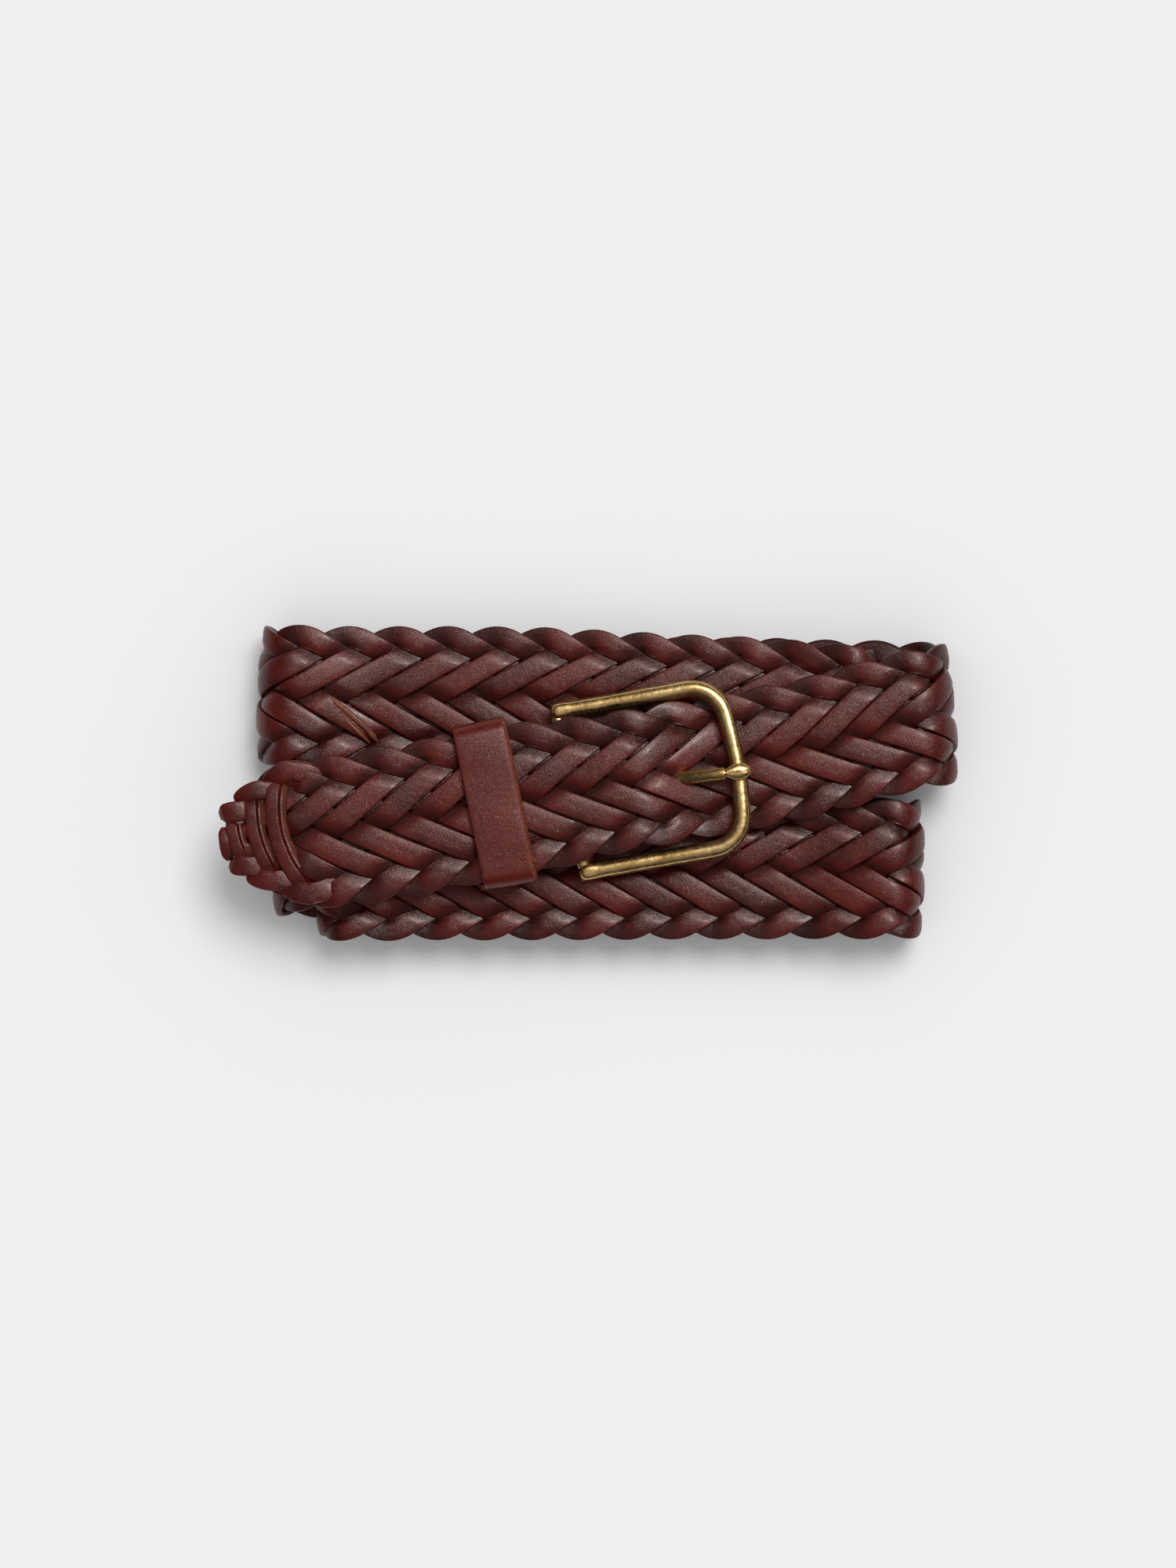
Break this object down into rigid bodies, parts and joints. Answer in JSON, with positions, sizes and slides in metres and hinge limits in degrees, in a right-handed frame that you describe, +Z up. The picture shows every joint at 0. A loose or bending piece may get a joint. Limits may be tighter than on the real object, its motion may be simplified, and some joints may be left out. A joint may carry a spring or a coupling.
{
  "type": "leather belt",
  "caption": "Plaited leather belt with a horseshoe buckle, prong, keeper and chape, buckled and coiled into a flat roll.",
  "frame": {"origin": "middle of the coil's footprint, on the surface it lies on", "axes": "+X along the coil towards the buckle's front bar, +Y across the coil, +Z up, out of the face that carries the buckle"},
  "size_m": [0.1838, 0.0792, 0.029],
  "materials": {
    "strand_leather": "semi-gloss, fine pebbled grain, dark burgundy brown with redder patches and orange-brown raw edges",
    "smooth_leather": "smooth semi-gloss, dark burgundy brown",
    "thread": "waxed dark brown thread",
    "antique_brass": "antique satin with dark pits and worn bright edges"
  },
  "bodies": {
    "strap": {"strand_1": "strand_leather", "strand_2": "strand_leather", "strand_3": "strand_leather", "strand_4": "strand_leather", "strand_5": "strand_leather", "strand_6": "strand_leather", "strand_7": "strand_leather", "strand_8": "strand_leather", "strand_9": "strand_leather", "chape": "smooth_leather", "chape_stitching": "thread"},
    "buckle": {"buckle_frame": "antique_brass", "hinge_bar": "antique_brass"},
    "tongue": {"prong": "antique_brass"},
    "keeper_band": {"keeper": "smooth_leather"}
  },
  "joints": [
    {"name": "buckle_hinge", "type": "hinge", "parent": "strap", "child": "buckle", "pos_m": [-0.00517, -0.00227, 0.0201], "axis": [0.1736, -0.9848, 0], "range_deg": [0, 2.5]},
    {"name": "prong_hinge", "type": "hinge", "parent": "buckle", "child": "tongue", "pos_m": [-0.00517, -0.00227, 0.0201], "axis": [0.1736, -0.9848, 0], "range_deg": [0, 1]},
    {"name": "keeper_slide", "type": "slide", "parent": "strap", "child": "keeper_band", "axis": [-0.9848, -0.1736, 0], "range_m": [-0.003, 0.01]}
  ]
}
